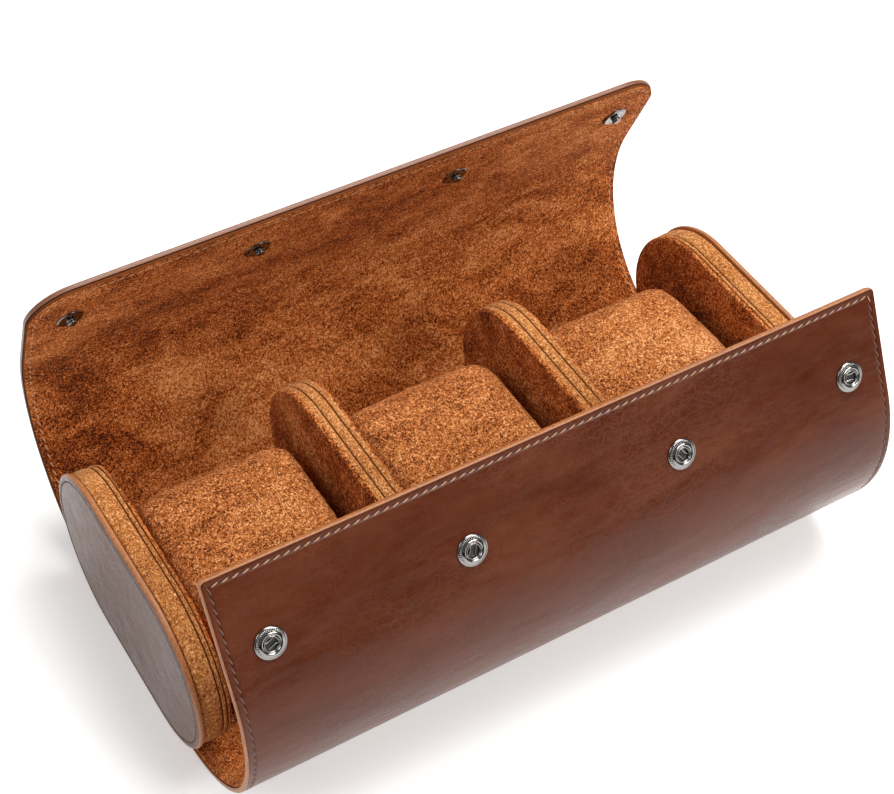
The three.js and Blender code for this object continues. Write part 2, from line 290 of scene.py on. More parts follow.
def suede_material(name, dark, mid, light, top, sheen=0.35, mottle=1.0, grain=1.0, shift=(0, 0, 0)):
    m, t, b = nodes_of(name)
    T = Tree(t)
    v = T.scaled(T.attr("flat").outputs["Vector"], (1, 1, 1), shift)
    a = T.noise(T.scaled(v, (1.15, 0.85, 1.0)), 1.95 * grain, 2.0, 0.75, 0.9)
    c = T.noise(T.scaled(v, (1, 1, 1), (31, 17, 5)), 0.95 * grain, 2.0, 0.6, 0.6)
    nap = T.noise(T.scaled(v, (0.05, 0.09, 0.09)), 1.0, 5.0, 0.65, 1.2)
    patch = T.noise(T.scaled(v, (0.013, 0.028, 0.028), (3, 8, 2)), 1.0, 3.0, 0.6, 0.8)
    speck = T.math("ADD", T.math("MULTIPLY", a, 0.68), T.math("MULTIPLY", c, 0.32))
    lift = T.math("ADD", T.math("MULTIPLY", T.math("SUBTRACT", nap, 0.5), 0.26 * mottle),
                  T.math("MULTIPLY", T.math("SUBTRACT", patch, 0.5), 0.22 * mottle))
    k = T.math("ADD", speck, lift)
    colour = T.ramp(k, [(0.395, dark), (0.470, mid), (0.545, light), (0.640, top)])
    t.links.new(colour, b.inputs["Base Color"])
    b.inputs["Roughness"].default_value = 0.92
    b.inputs["Specular IOR Level"].default_value = 0.12
    b.inputs["Sheen Weight"].default_value = sheen
    b.inputs["Sheen Roughness"].default_value = 0.45
    b.inputs["Sheen Tint"].default_value = (1.0, 0.62, 0.34, 1)
    fibre = T.noise(v, 2.6 * grain, 2.0, 0.6)
    h = T.math("ADD", T.math("MULTIPLY", a, 0.75), T.math("MULTIPLY", fibre, 0.22))
    h = T.math("ADD", h, T.math("MULTIPLY", nap, 0.6))
    t.links.new(T.bump(h, 0.75, 0.001), b.inputs["Normal"])
    return m


def plain_material(name, colour, rough, metal=0.0, spec=0.5, var=0.0, bump=0.0, scale=1.5, attribute="flat"):
    m, t, b = nodes_of(name)
    T = Tree(t)
    b.inputs["Metallic"].default_value = metal
    b.inputs["Specular IOR Level"].default_value = spec
    v = T.attr(attribute).outputs["Vector"]
    if var:
        n = T.noise(v, scale, 3.0, 0.6)
        t.links.new(T.ramp(n, [(0.3, tuple(c * (1 - var) for c in colour)), (0.7, tuple(min(1, c * (1 + var)) for c in colour))]),
                    b.inputs["Base Color"])
        t.links.new(T.span(n, 0.3, 0.7, rough * 0.85, rough * 1.15), b.inputs["Roughness"])
        if bump:
            t.links.new(T.bump(n, bump, 0.001), b.inputs["Normal"])
    else:
        b.inputs["Base Color"].default_value = (*colour, 1)
        b.inputs["Roughness"].default_value = rough
    return m


LEATHER = leather_material("leather", (0.086, 0.0158, 0.0028), (0.064, 0.0110, 0.0020), (0.120, 0.027, 0.0060), 0.27)
DISC = leather_material("leather_end", (0.085, 0.026, 0.011), (0.065, 0.019, 0.008), (0.110, 0.036, 0.015), 0.28, 0.2)
EDGE = plain_material("leather_edge_paint", (0.36, 0.135, 0.045), 0.45, var=0.30, bump=0.15, scale=1.2)
EDGE_DARK = plain_material("leather_edge_turned", (0.20, 0.075, 0.035), 0.38, var=0.3, bump=0.15, scale=1.0)
SUEDE = suede_material("suede", (0.030, 0.004, 0.001), (0.31, 0.062, 0.009), (0.68, 0.185, 0.034), (1.0, 0.52, 0.20), 0.05)
SUEDE_PAD = suede_material("suede_pad", (0.040, 0.006, 0.001), (0.33, 0.084, 0.016), (0.66, 0.225, 0.058), (1.0, 0.60, 0.28), 0.08, 0.6, 1.0, (200, 90, 40))
# a lighter, golden copy of the suede for the rim bands: painted sheen and painted light on the rims' tops
SUEDE_BAND_PAINTED_SHEEN = suede_material("suede_band_painted_sheen", (0.13, 0.032, 0.007), (0.42, 0.130, 0.028), (0.62, 0.250, 0.070), (0.95, 0.56, 0.26), 0.16, 0.4, 1.05, (400, 30, 70))
SEAM = plain_material("suede_seam", (0.14, 0.038, 0.010), 0.95, spec=0.1, var=0.5, bump=0.4, scale=2.0)
THREAD = plain_material("thread_light", (0.42, 0.215, 0.125), 0.65, var=0.15, scale=6.0)
# a darker thread, used for the end plates' sewn line and as painted shade on the stitches down the wall's sides
THREAD_DARK = plain_material("thread_dark", (0.15, 0.065, 0.038), 0.6, var=0.2, scale=6.0)
THREAD_TAN = plain_material("thread_tan", (0.60, 0.33, 0.16), 0.7, var=0.15, scale=6.0)
NICKEL = plain_material("dark_nickel", (0.27, 0.26, 0.25), 0.11, metal=1.0)
# near-black: painted shade inside the sockets' holes
HOLE_SHADE = plain_material("socket_hole_painted_shade", (0.02, 0.018, 0.017), 0.4, metal=0.0)
GUN = plain_material("gunmetal", (0.20, 0.195, 0.19), 0.12, metal=1.0)
WIRE = plain_material("spring_wire", (0.42, 0.40, 0.37), 0.25, metal=1.0)
BOARD = plain_material("board", (0.33, 0.24, 0.15), 0.9, var=0.15)


# ---------------------------------------------------------------- mesh making
def make(name, V, F, mats, fm=None, attrs=None, sharp_angle=None, smooth=True, fix=True):
    me = bpy.data.meshes.new(name)
    V = np.asarray(V, float)
    me.from_pydata((V * MM).tolist(), [], [list(map(int, f)) for f in F])
    for m in mats:
        me.materials.append(m)
    if fm is not None:
        me.polygons.foreach_set("material_index", np.asarray(fm, np.int32))
    me.polygons.foreach_set("use_smooth", np.full(len(F), smooth))
    for k, a in (attrs or {}).items():
        a = np.asarray(a, np.float32)
        if a.ndim == 2:
            me.attributes.new(k, "FLOAT_VECTOR", "POINT").data.foreach_set("vector", a.ravel())
        else:
            me.attributes.new(k, "FLOAT", "POINT").data.foreach_set("value", a)
    if not attrs or "flat" not in attrs:
        me.attributes.new("flat", "FLOAT_VECTOR", "POINT").data.foreach_set("vector", V.astype(np.float32).ravel())
    if fix:
        bm = bmesh.new()
        bm.from_mesh(me)
        bmesh.ops.recalc_face_normals(bm, faces=bm.faces)
        if sharp_angle is not None:
            for e in bm.edges:
                if len(e.link_faces) == 2 and e.calc_face_angle(0) > sharp_angle:
                    e.smooth = False
        bm.to_mesh(me)
        bm.free()
    me.update()
    o = bpy.data.objects.new(name, me)
    bpy.context.scene.collection.objects.link(o)
    return o


class Bag:
    """vertices and faces of several small solids gathered into one mesh"""

    def __init__(self):
        self.V, self.F, self.M, self.flat, self.n = [], [], [], [], 0

    def put(self, V, F, mat=0, flat=None):
        V = np.asarray(V, float)
        self.V.append(V)
        self.flat.append(V if flat is None else np.asarray(flat, float))
        self.F += [[i + self.n for i in f] for f in F]
        self.M += [mat] * len(F)
        self.n += len(V)

    def object(self, name, mats, **kw):
        return make(name, np.concatenate(self.V), self.F, mats, self.M, {"flat": np.concatenate(self.flat)}, **kw)


def lathe(profile, n, wave=None):
    """closed solid from (r, h) pairs turned round Z; ends of the profile lie on the axis"""
    V, rings = [], []
    for k, (r, h) in enumerate(profile):
        if r < 1e-6:
            rings.append([len(V)])
            V.append((0, 0, h))
            continue
        ring = []
        for i in range(n):
            a = 2 * math.pi * i / n
            dh = wave(k, r, a) if wave else 0.0
            ring.append(len(V))
            V.append((r * math.cos(a), r * math.sin(a), h + dh))
        rings.append(ring)
    F = []
    for A, B in zip(rings, rings[1:]):
        for i in range(n):
            j = (i + 1) % n
            if len(A) == 1 and len(B) > 1:
                F.append([A[0], B[i], B[j]])
            elif len(B) == 1 and len(A) > 1:
                F.append([A[i], B[0], A[j]])
            elif len(A) > 1:
                F.append([A[i], B[i], B[j], A[j]])
    return np.array(V), F


def tube(path, r, n=8):
    """closed round bar along points"""
    P = np.asarray(path, float)
    V, F = [], []
    T = np.gradient(P, axis=0)
    T /= np.linalg.norm(T, axis=1)[:, None]
    up = np.array([0, 0, 1.0])
    if abs(T[0] @ up) > 0.9:
        up = np.array([1.0, 0, 0])
    rr = np.full(len(P), r) if np.isscalar(r) else np.asarray(r)
    for p, t, q in zip(P, T, rr):
        a = np.cross(up, t)
        a /= np.linalg.norm(a)
        b = np.cross(t, a)
        for i in range(n):
            u = 2 * math.pi * i / n
            V.append(p + q * (math.cos(u) * a + math.sin(u) * b))
    m = len(P)
    for k in range(m - 1):
        for i in range(n):
            j = (i + 1) % n
            F.append([k * n + i, k * n + j, (k + 1) * n + j, (k + 1) * n + i])
    F.append([i for i in range(n)][::-1])
    F.append([(m - 1) * n + i for i in range(n)])
    return np.array(V), F


def put_at(V, origin, X, Y, Z):
    return np.asarray(origin) + V[:, :1] * np.asarray(X) + V[:, 1:2] * np.asarray(Y) + V[:, 2:3] * np.asarray(Z)


def finish_piece(o, body, replaces=(), blend=None):
    if blend:
        a, b, start, end = blend
        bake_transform(o, a, b, [float(c) * MM for c in start], [float(c) * MM for c in end])
    else:
        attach(o, body)
    if replaces:
        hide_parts(*replaces)
    return o


# --------------------------------------------------- the wrap: leather, lining
EDGE_STEPS = [8.0, 5.5, 4.2, 3.5, 3.1, 2.8, 2.6, 2.45, 2.3, 2.15, 2.0, 1.8, 1.5, 1.2, 0.95]


def groove(e, depth=0.22):
    """the skin dips along the sewn line and swells again at the edge"""
    e = np.asarray(e, float)
    return -depth * np.exp(-(((e - 2.3) / 0.42) ** 2)) - 0.03 * np.exp(-(((e - 2.3) / 1.6) ** 2))


def ripple(x, S):
    """slow unevenness of a hand-laid skin, in mm"""
    return (0.055 * np.sin(x / 23 + 1.3 * np.sin(S / 31)) * np.sin(S / 19 + 0.8)
            + 0.035 * np.sin(x / 11.3 + S / 17.1 + 2.0) + 0.025 * np.sin(x / 37 - S / 8.7 + 0.5))


def slab(w, s0, s1, d_in, d_out, r_out, r_in, inset, step_s=2.2, hem=False, uneven=0.0, dip=(0.22, 0.0), half_l=None):
    """closed piece of a layer between unrolled positions s0 and s1. s0 is always
    a plain cut, where the next piece of the same layer goes on; s1 is too unless
    hem, where it is the wrap's free end with two rounded corners."""
    L2 = (WRAP_L / 2 if half_l is None else half_l) - inset
    length = w["length"] - inset
    R = max(w["corner"] - inset, 0.3)
    nu = 58
    if hem:
        nrow = max(2, int(math.ceil((length - s0) / step_s)))
        q = np.linspace(0, 1, nrow + 1)
        q = np.insert(q, 1, 0.02 / max(1e-6, (length - s0)) * 10)
        ncorner = 10 if R > 5 else 5
        rows = [("s", k) for k in q] + [("c", (i + 1) / ncorner * math.pi / 2) for i in range(ncorner)]
    else:
        nrow = max(2, int(math.ceil((s1 - s0) / step_s)))
        q = np.linspace(0, 1, nrow + 1)
        tight = 0.12 / (s1 - s0)
        q = np.concatenate([[0, tight], q[1:-1], [1 - tight, 1]])
        rows = [("s", k) for k in q]
    nv = len(rows) - 1
    # near the hem's corner the straight rows must not bunch up as the inset grows
    V, FL, E = [], [], []

    def xs(i, j, e):
        kind, k = rows[j]
        if not hem:
            half, s = L2 - e, s0 + k * (s1 - s0)
        else:
            rr = max(R - e, 0.0)
            send = length - max(R, e)
            if kind == "s":
                half, s = L2 - e, s0 + k * (send - s0)
            else:
                half = L2 - max(R, e) + rr * math.cos(k)
                s = send + rr * math.sin(k)
        return -half + 2 * half * i / nu, s

    def vert(i, j, e, d, top):
        x, s = xs(i, j, e)
        S = unrolled(w, s)
        if top:
            dd = dip[0]
            if dd:
                d = d + groove(e, dd)
            if uneven:
                d = d + uneven * ripple(x, S) * min(1.0, max(0.0, (e - 3) / 14))
        else:
            if dip[1]:
                d = d - groove(e, dip[1])
        V.append((x, s, d))
        FL.append((x, S, 0.0 if top else 60.0))
        E.append(e)
        return len(V) - 1

    e_in = EDGE_STEPS[0]
    # the interior lattice, whose own border is the innermost ring
    def lattice(d, top):
        G = np.zeros((nu + 1, nv + 1), int)
        for j in range(nv + 1):
            for i in range(nu + 1):
                k = vert(i, j, e_in, d, top)
                x, s = V[k][0], V[k][1]
                e = L2 - abs(x)
                if hem:
                    e = min(e, length - s)
                E[k] = max(e_in, e)
                if uneven and top:
                    S = unrolled(w, s)
                    V[k] = (x, s, d + groove(E[k], dip[0]) + uneven * ripple(x, S) * min(1.0, max(0.0, (E[k] - 3) / 14)))
                G[i, j] = k
        return G
    A = lattice(d_out, True)
    B = lattice(d_in, False)
    if hem:
        chain = [(0, j) for j in range(nv + 1)] + [(i, nv) for i in range(1, nu)] + [(nu, j) for j in range(nv, -1, -1)]
        chains = [chain]
    else:
        chains = [[(0, j) for j in range(nv + 1)], [(nu, j) for j in range(nv, -1, -1)]]
    prof = []  # (inset, depth, top?, paint?)
    for e in EDGE_STEPS[1:]:
        if e > r_out + 0.05:
            prof.append((e, d_out, True, False))
    for k in range(6):
        p = math.pi / 2 * k / 5
        prof.append((r_out * (1 - math.sin(p)), d_out - r_out * (1 - math.cos(p)), True, k > 1))
    if d_out - r_out - (d_in + r_in) > 0.12:
        prof.append((0.0, (d_out - r_out + d_in + r_in) / 2, True, True))
    for k in range(5):
        p = math.pi / 2 * (1 - k / 4)
        prof.append((r_in * (1 - math.sin(p)), d_in + r_in * (1 - math.cos(p)), False, k < 3))
    for e in EDGE_STEPS[::-1]:
        if e > r_in + 0.05 and e < e_in:
            prof.append((e, d_in, False, False))
    F, M = [], []
    ring_ids = {}
    for c, chain in enumerate(chains):
        prev = [A[i, j] for i, j in chain]
        for n, (e, d, top, paint) in enumerate(prof):
            here = [vert(i, j, e, d, top) for i, j in chain]
            for a in range(len(chain) - 1):
                F.append([prev[a], here[a], here[a + 1], prev[a + 1]])
                M.append(1 if paint else (0 if top else 2))
            for a in (0, len(chain) - 1):
                ring_ids.setdefault((c, a), []).append(here[a])
            prev = here
        last = [B[i, j] for i, j in chain]
        for a in range(len(chain) - 1):
            F.append([prev[a], last[a], last[a + 1], prev[a + 1]])
            M.append(2)
    for i in range(nu):
        for j in range(nv):
            F.append([A[i, j], A[i + 1, j], A[i + 1, j + 1], A[i, j + 1]])
            M.append(0)
            F.append([B[i, j], B[i, j + 1], B[i + 1, j + 1], B[i + 1, j]])
            M.append(2)
    # the plain cuts
    cuts = [0] if hem else [0, nv]
    ncap0 = len(F)
    for j in cuts:
        for i in range(nu):
            F.append([A[i, j], A[i + 1, j], B[i + 1, j], B[i, j]])
            M.append(1)
        for i in (0, nu):
            if hem:
                c, a = 0, (0 if i == 0 else len(chains[0]) - 1)
            else:
                c = 0 if i == 0 else 1
                a = (0 if j == 0 else len(chains[0]) - 1) if i == 0 else (len(chains[1]) - 1 if j == 0 else 0)
            F.append([A[i, j]] + ring_ids[(c, a)] + [B[i, j]])
            M.append(1)
    V = np.array(V)
    P = wrap_xyz(w, V[:, 0], V[:, 1], V[:, 2])
    return P, F, M, np.array(FL), np.array(E), ncap0


def wrap_piece(name, w, s0, s1, hem, mats, depth, r_out, r_in, inset, uneven, dip, body_pair, hinge, replaces):
    P, F, M, FL, E, ncap = slab(w, s0, s1, depth[0], depth[1], r_out, r_in, inset, hem=hem, uneven=uneven, dip=dip)
    o = make(name, P, F, mats, M, {"flat": FL, "edge": E}, fix=False)
    bm = bmesh.new()
    bm.from_mesh(o.data)
    bm.faces.ensure_lookup_table()
    for f in bm.faces[ncap:]:
        for e in f.edges:
            e.smooth = False
    bmesh.ops.remove_doubles(bm, verts=bm.verts, dist=2e-6)
    bmesh.ops.dissolve_degenerate(bm, edges=bm.edges, dist=1e-6)
    bmesh.ops.recalc_face_normals(bm, faces=bm.faces)
    bm.to_mesh(o.data)
    bm.free()
    reach = 8.2 if w["side"] < 0 else 11.0
    lo, hi = max(s0, hinge - reach), hinge + reach
    start = wrap_xyz(w, 0, lo, 1.5)
    end = wrap_xyz(w, 0, hi, 1.5)
    return finish_piece(o, None, replaces, (body_pair[0], body_pair[1], start, end)), (start, end)


# stitches: slanted loops of thread, 3.1 mm apart, laid along a path of (x, s)
PITCH = 3.05


def hem_path(w, inset, s_from):
    """points on the sewn line of a wrap's free end, from the left side's s_from round to the right side's"""
    L2, length, R = WRAP_L / 2 - inset, w["length"] - inset, max(w["corner"] - inset, 0.4)
    P = [(-L2, s) for s in np.arange(s_from, length - R, 0.5)]
    P += [(-L2 + R - R * math.cos(a), length - R + R * math.sin(a)) for a in np.linspace(0, math.pi / 2, 24)]
    P += [(x, length) for x in np.arange(-L2 + R + 0.5, L2 - R, 0.5)]
    P += [(L2 - R + R * math.sin(a), length - R + R * math.cos(a)) for a in np.linspace(0, math.pi / 2, 24)]
    P += [(L2, s) for s in np.arange(length - R, s_from, -0.5)]
    return np.array(P)


def along(path, pitch):
    d = np.r_[0, np.cumsum(np.linalg.norm(np.diff(path, axis=0), axis=1))]
    n = int(d[-1] // pitch)
    u = (np.arange(n) + 0.5) * d[-1] / n
    p = np.stack([np.interp(u, d, path[:, 0]), np.interp(u, d, path[:, 1])], 1)
    q = np.stack([np.interp(u + 0.3, d, path[:, 0]), np.interp(u + 0.3, d, path[:, 1])], 1)
    t = q - p
    t /= np.linalg.norm(t, axis=1)[:, None] + 1e-12
    return p, t


def stitch_shape(length=2.35, r=0.25, n=7, m=7):
    """one lens-shaped loop of thread along X, bowed in Z"""
    V, F = [], []
    for k in range(m + 1):
        u = k / m
        x = (u - 0.5) * length
        rr = r * (0.35 + 0.65 * math.sin(math.pi * min(1, max(0, u))) ** 0.45)
        z = 0.16 * math.sin(math.pi * u) - 0.10
        for i in range(n):
            a = 2 * math.pi * i / n
            V.append((x, rr * math.cos(a), z + rr * 0.85 * math.sin(a)))
    for k in range(m):
        for i in range(n):
            j = (i + 1) % n
            F.append([k * n + i, k * n + j, (k + 1) * n + j, (k + 1) * n + i])
    F.append(list(range(n))[::-1])
    F.append([m * n + i for i in range(n)])
    return np.array(V), F


STITCH_V, STITCH_F = stitch_shape()


def stitches_on(bag, w, pts, dirs, d, mat, slant=0.30, outward=True, keep=lambda x, s: True):
    for (x, s), (tx, ts) in zip(pts, dirs):
        if not keep(x, s):
            continue
        c, n = math.cos(slant), math.sin(slant)
        ux, us = tx * c - ts * n, tx * n + ts * c
        px, ps = -us, ux
        V = STITCH_V
        if not outward:
            px, ps = -px, -ps
        fx = x + V[:, 0] * ux + V[:, 1] * px
        fs = s + V[:, 0] * us + V[:, 1] * ps
        fd = d + (V[:, 2] if outward else -V[:, 2])
        bag.put(wrap_xyz(w, fx, fs, fd), STITCH_F, mat)


REGIONS = []
for w, label, tray_nodes in ((FLAP, "flap", ["back"]), (WALL, "wall", [])):
    h = w["hinges"]
    mids = [-w["start"]] + [(a + b) / 2 for a, b in zip(h, h[1:])] + [w["length"]]
    for i in range(4):
        a = "tray" if i == 0 else f"{label}_{i}"
        b = f"{label}_{i + 1}"
        REGIONS.append(dict(w=w, label=label, i=i, s0=mids[i], s1=mids[i + 1], hem=i == 3, a=a, b=b, hinge=h[i]))

for g in REGIONS:
    w, i, label = g["w"], g["i"], g["label"]
    nodes_out = [f"{label}_leather_{i + 1}"] + ([f"{label}_board_4"] if i == 3 else [])
    nodes_in = [f"{label}_lining_{i + 1}"]
    if i == 0 and label == "flap":
        nodes_out += ["back_leather", "back_board"]
        nodes_in += ["back_lining"]
    tag = f"{g['a']}_{g['b']}"
    o, (g["start"], g["end"]) = wrap_piece(
        f"leather_{tag}", w, g["s0"], g["s1"], g["hem"], [LEATHER, EDGE if label == "wall" else EDGE_DARK, LEATHER], (1.28, WRAP_T), 0.62, 0.25, 0.0,
        1.0, (0.22, 0.0), (g["a"], g["b"]), g["hinge"], nodes_out)
    wrap_piece(
        f"lining_{tag}", w, g["s0"], g["s1"], g["hem"], [SUEDE, SEAM if label == "flap" else SUEDE, SUEDE], (0.0, 1.18), 0.25, 0.55, 0.30,
        0.0, (0.0, 0.12), (g["a"], g["b"]), g["hinge"], nodes_in)

# thread of the sewn line, split where the wrap's pieces are
for w, label in ((FLAP, "flap"), (WALL, "wall")):
    path = hem_path(w, 2.35, -w["start"])
    pts, dirs = along(path, PITCH)
    for g in [r for r in REGIONS if r["label"] == label]:
        bag = Bag()
        inside = lambda x, s: g["s0"] <= s < (g["s1"] if not g["hem"] else 1e9)
        if label == "wall":
            # the front stitches take the light thread and the stitches down the sides take the darker thread: painted
            # shade on the sides
            front = lambda x, s: inside(x, s) and s > w["length"] - 3.5
            sides = lambda x, s: inside(x, s) and not s > w["length"] - 3.5
            stitches_on(bag, w, pts, dirs, WRAP_T - 0.14, 0, keep=front)
            stitches_on(bag, w, pts, dirs, WRAP_T - 0.14, 1, keep=sides)
            stitches_on(bag, w, pts, dirs, 0.30, 2, outward=False, keep=inside)
        else:
            stitches_on(bag, w, pts, dirs, WRAP_T - 0.14, 0, keep=inside)
            stitches_on(bag, w, pts, dirs, 0.10, 2, outward=False, keep=inside)
        if bag.n:
            o = bag.object(f"thread_{g['a']}_{g['b']}", [THREAD, THREAD_DARK, THREAD_TAN], fix=False)
            finish_piece(o, None, (), (g["a"], g["b"], g["start"], g["end"]))


# ------------------------------------------------------- end caps and dividers
def stadium_ring(r, n=40):
    """YZ points and outward directions of a stadium of half height r"""
    P, N = [], []
    for side in (1, -1):
        for i in range(n + 1):
            a = side * math.pi / 2 * -1 + side * 0 + math.pi * i / n if side > 0 else math.pi / 2 + math.pi * i / n
            N.append((math.cos(a), math.sin(a)))
            P.append((side * CORE_S + r * math.cos(a), r * math.sin(a)))
        # points along the straight side
        for k in range(1, 14):
            u = k / 14
            N.append((0, 1 if side > 0 else -1))
            P.append((side * CORE_S * (1 - 2 * u), r if side > 0 else -r))
    return np.array(P), np.array(N)


def swept(name, profile, mats, fm=None, attribute_shift=0.0, crown=(0.0, 0.0), centre_x=0.0):
    """closed solid: (x, r, material) profile pairs carried round the stadium, its ends filled flat"""
    V, FL, E, rings = [], [], [], []
    arc = None
    for x, r, m in profile:
        P, N = stadium_ring(max(r, 0.3))
        if arc is None:
            arc = np.r_[0, np.cumsum(np.linalg.norm(np.diff(P, axis=0), axis=1))]
        ids = list(range(len(V), len(V) + len(P)))
        rings.append(ids)
        for k, (y, z) in enumerate(P):
            V.append((x, y + YC, z + ZC))
            FL.append((x + attribute_shift, y, z))
            E.append(r)
    F, M = [], []
    n = len(rings[0])
    for k in range(len(rings) - 1):
        for i in range(n):
            j = (i + 1) % n
            F.append([rings[k][i], rings[k][j], rings[k + 1][j], rings[k + 1][i]])
            M.append(profile[k][2])
    F.append(rings[0][::-1])
    M.append(profile[0][2])
    F.append(rings[-1])
    M.append(profile[-1][2])
    return make(name, V, F, mats, M, {"flat": np.array(FL), "edge": PLATE_R - np.array(E)})


def face_profile(x_edge, x_dir, R, radius, mat, crown, rim_from):
    """profile from the middle of a flat face out to its rounded rim; x_dir is -1 for the low-x face"""
    out = []
    for r in (0.3, 2, 5, 9, 13, 17, 20, 22.5, 24.5, 26, 27, R - radius):
        u = min(1.0, r / (R - radius))
        out.append((x_edge + x_dir * (-crown * (u ** 6)), r, mat))
    for k in range(1, 6):
        p = math.pi / 2 * k / 5
        out.append((x_edge + x_dir * (-crown - radius * (1 - math.cos(p))), R - radius + radius * math.sin(p), mat))
    return out


def seam(x, R, depth, width, mat):
    return [(x - width, R, mat), (x - width * 0.6, R - depth * 0.3, 2), (x, R - depth, 2), (x + width * 0.6, R - depth * 0.3, mat), (x + width, R, mat)]


def flipped(profile):
    return profile[::-1]


for label, cx in (("left", None), ("right", None)):
    lo, _ = cad(f"divider_{label}_face_a")
    _, hi = cad(f"divider_{label}_face_b")
    x0, x1 = lo[0], hi[0]
    R = CORE_R
    a = face_profile(x0, -1, R, 1.1, 0, 0.35, 0)
    b = face_profile(x1, 1, R, 1.1, 0, 0.35, 0)
    lo2, hi2 = cad(f"divider_{label}_rim")
    band = []
    sa = x0 + 0.36 * (x1 - x0)
    sb = x0 + 0.70 * (x1 - x0)
    for u in (0.2, 0.4, 0.6, 0.8):
        band.append((x0 + 1.1 + u * (sa - 0.45 - x0 - 1.1), R + 0.15 * math.sin(math.pi * u), 1))
    band += seam(sa, R, 0.8, 0.42, 1)
    for u in np.linspace(0.0, 1.0, 7)[1:-1]:
        band.append((sa + 0.42 + u * (sb - sa - 0.84), R + 0.30 * math.sin(math.pi * u), 1))
    band += seam(sb, R, 0.8, 0.42, 1)
    for u in (0.2, 0.4, 0.6, 0.8):
        band.append((sb + 0.45 + u * (x1 - 1.1 - sb - 0.45), R + 0.12 * math.sin(math.pi * u), 1))
    prof = a + band + flipped(b)
    o = swept(f"divider_{label}_suede", prof, [SUEDE, SUEDE_BAND_PAINTED_SHEEN, SEAM], attribute_shift=37.0 if label == "left" else 83.0)
    finish_piece(o, "tray", [f"divider_{label}_{k}" for k in ("face_a", "rim", "core", "face_b")])

for label, side in (("left", -1), ("right", 1)):
    plo, phi = cad(f"cap_{label}_plate")
    rlo, rhi = cad(f"cap_{label}_rim")
    flo, fhi = cad(f"cap_{label}_face")
    R = CORE_R
    # leather end plate: (inner, outer) along the outward direction
    out_x = phi[0] if side > 0 else plo[0]
    in_x = plo[0] if side > 0 else phi[0]
    RP = PLATE_R
    prof = []
    for r in (0.3, 4, 9, 14, 18, 21, 23.5, 25.0, 26.0, 26.6, 27.0, 27.3, 27.5, 27.65, 27.8, 27.95, 28.1, 28.3, 28.6):
        dip = 0.28 * math.exp(-(((RP - r - 2.3) / 0.30) ** 2))
        puff = 0.22 * (1 - min(1, r / 27.0) ** 4)
        prof.append((out_x - side * (0.22 - puff + dip), r, 0))
    rad = 1.05
    for k in range(0, 7):
        p = math.pi / 2 * k / 6
        prof.append((out_x - side * (0.22 + rad * (1 - math.cos(p))), RP - rad + rad * math.sin(p), 0 if k < 2 else 1))
    prof.append((in_x + side * 0.55, RP, 1))
    for k in range(1, 4):
        p = math.pi / 2 * k / 3
        prof.append((in_x + side * 0.45 * (1 - math.sin(p)), RP - 0.45 + 0.45 * math.cos(p), 1))
    prof.append((in_x, RP - 2.5, 1))
    prof.append((in_x, 0.3, 1))
    o = swept(f"cap_{label}_leather", prof, [DISC, EDGE], attribute_shift=500.0 * side)
    finish_piece(o, "tray", [f"cap_{label}_plate"])
    # its sewn line
    bag = Bag()
    P, N = stadium_ring(RP - 2.3, 60)
    P = np.vstack([P, P[:1]])
    pts, dirs = along(P, 2.9)
    for (y, z), (ty, tz) in zip(pts, dirs):
        V = STITCH_V * [0.86, 0.72, 0.72]
        t3 = np.array([0, ty, tz])
        n3 = np.array([side, 0, 0.0])
        b3 = np.cross(n3, t3)
        bag.put(put_at(V, (out_x - side * 0.34, y + YC, z + ZC), t3, b3, n3), STITCH_F, 0)
    o = bag.object(f"cap_{label}_thread", [THREAD_DARK], fix=False)
    finish_piece(o, "tray")
    # suede band and inner face
    edge_x = rhi[0] if side > 0 else rlo[0]
    face_x = flo[0] if side > 0 else fhi[0]
    prof = face_profile(face_x, -side, R, 1.0, 0, 0.35, 0)
    for at in (1.75, 3.35):
        lips = seam(face_x + side * at, R, 0.75, 0.38, 1)
        if side < 0:
            lips = [(a, b, c) for (a, b, _), c in zip(lips[::-1], (1, 2, 2, 1, 1))]
        prof += lips
    span = edge_x - (face_x + side * 3.8)
    for u in np.linspace(0, 1, 9)[1:-1]:
        prof.append((face_x + side * 3.8 + u * span, R + 0.25 * math.sin(math.pi * min(1, u * 1.1)), 1))
    for k in range(0, 4):
        p = math.pi / 2 * k / 3
        prof.append((edge_x - side * 0.6 * (1 - math.sin(p)), R - 0.6 + 0.6 * math.cos(p), 1))
    prof.append((edge_x, R - 2.0, 1))
    prof.append((edge_x, 0.3, 1))
    o = swept(f"cap_{label}_suede", prof, [SUEDE, SUEDE_BAND_PAINTED_SHEEN, SEAM], attribute_shift=150.0 * side)
    finish_piece(o, "tray", [f"cap_{label}_{k}" for k in ("rim", "core", "face")])


